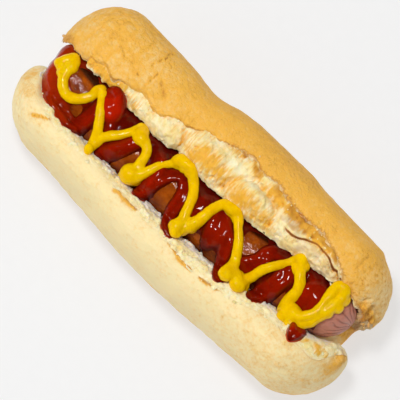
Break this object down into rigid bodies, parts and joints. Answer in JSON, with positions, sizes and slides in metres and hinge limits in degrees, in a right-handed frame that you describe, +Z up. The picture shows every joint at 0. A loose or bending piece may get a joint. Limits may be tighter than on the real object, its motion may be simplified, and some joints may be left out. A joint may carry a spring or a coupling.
{
  "type": "hot dog",
  "caption": "Frankfurter in an opened soft bun, with zigzag lines of ketchup and mustard along its top.",
  "frame": {"origin": "centre of the bounding box in plan, on the surface that the bun stands on", "axes": "+X along the bun to the bare tip of the sausage, +Y to the tall golden half, +Z up"},
  "size_m": [0.1512, 0.0643, 0.0462],
  "materials": {
    "bun": "matte",
    "sausage": "glossy",
    "ketchup": "glossy",
    "mustard": "glossy"
  },
  "bodies": {
    "root": {"bun": "bun", "sausage": "sausage", "ketchup": "ketchup", "mustard": "mustard"}
  },
  "joints": []
}
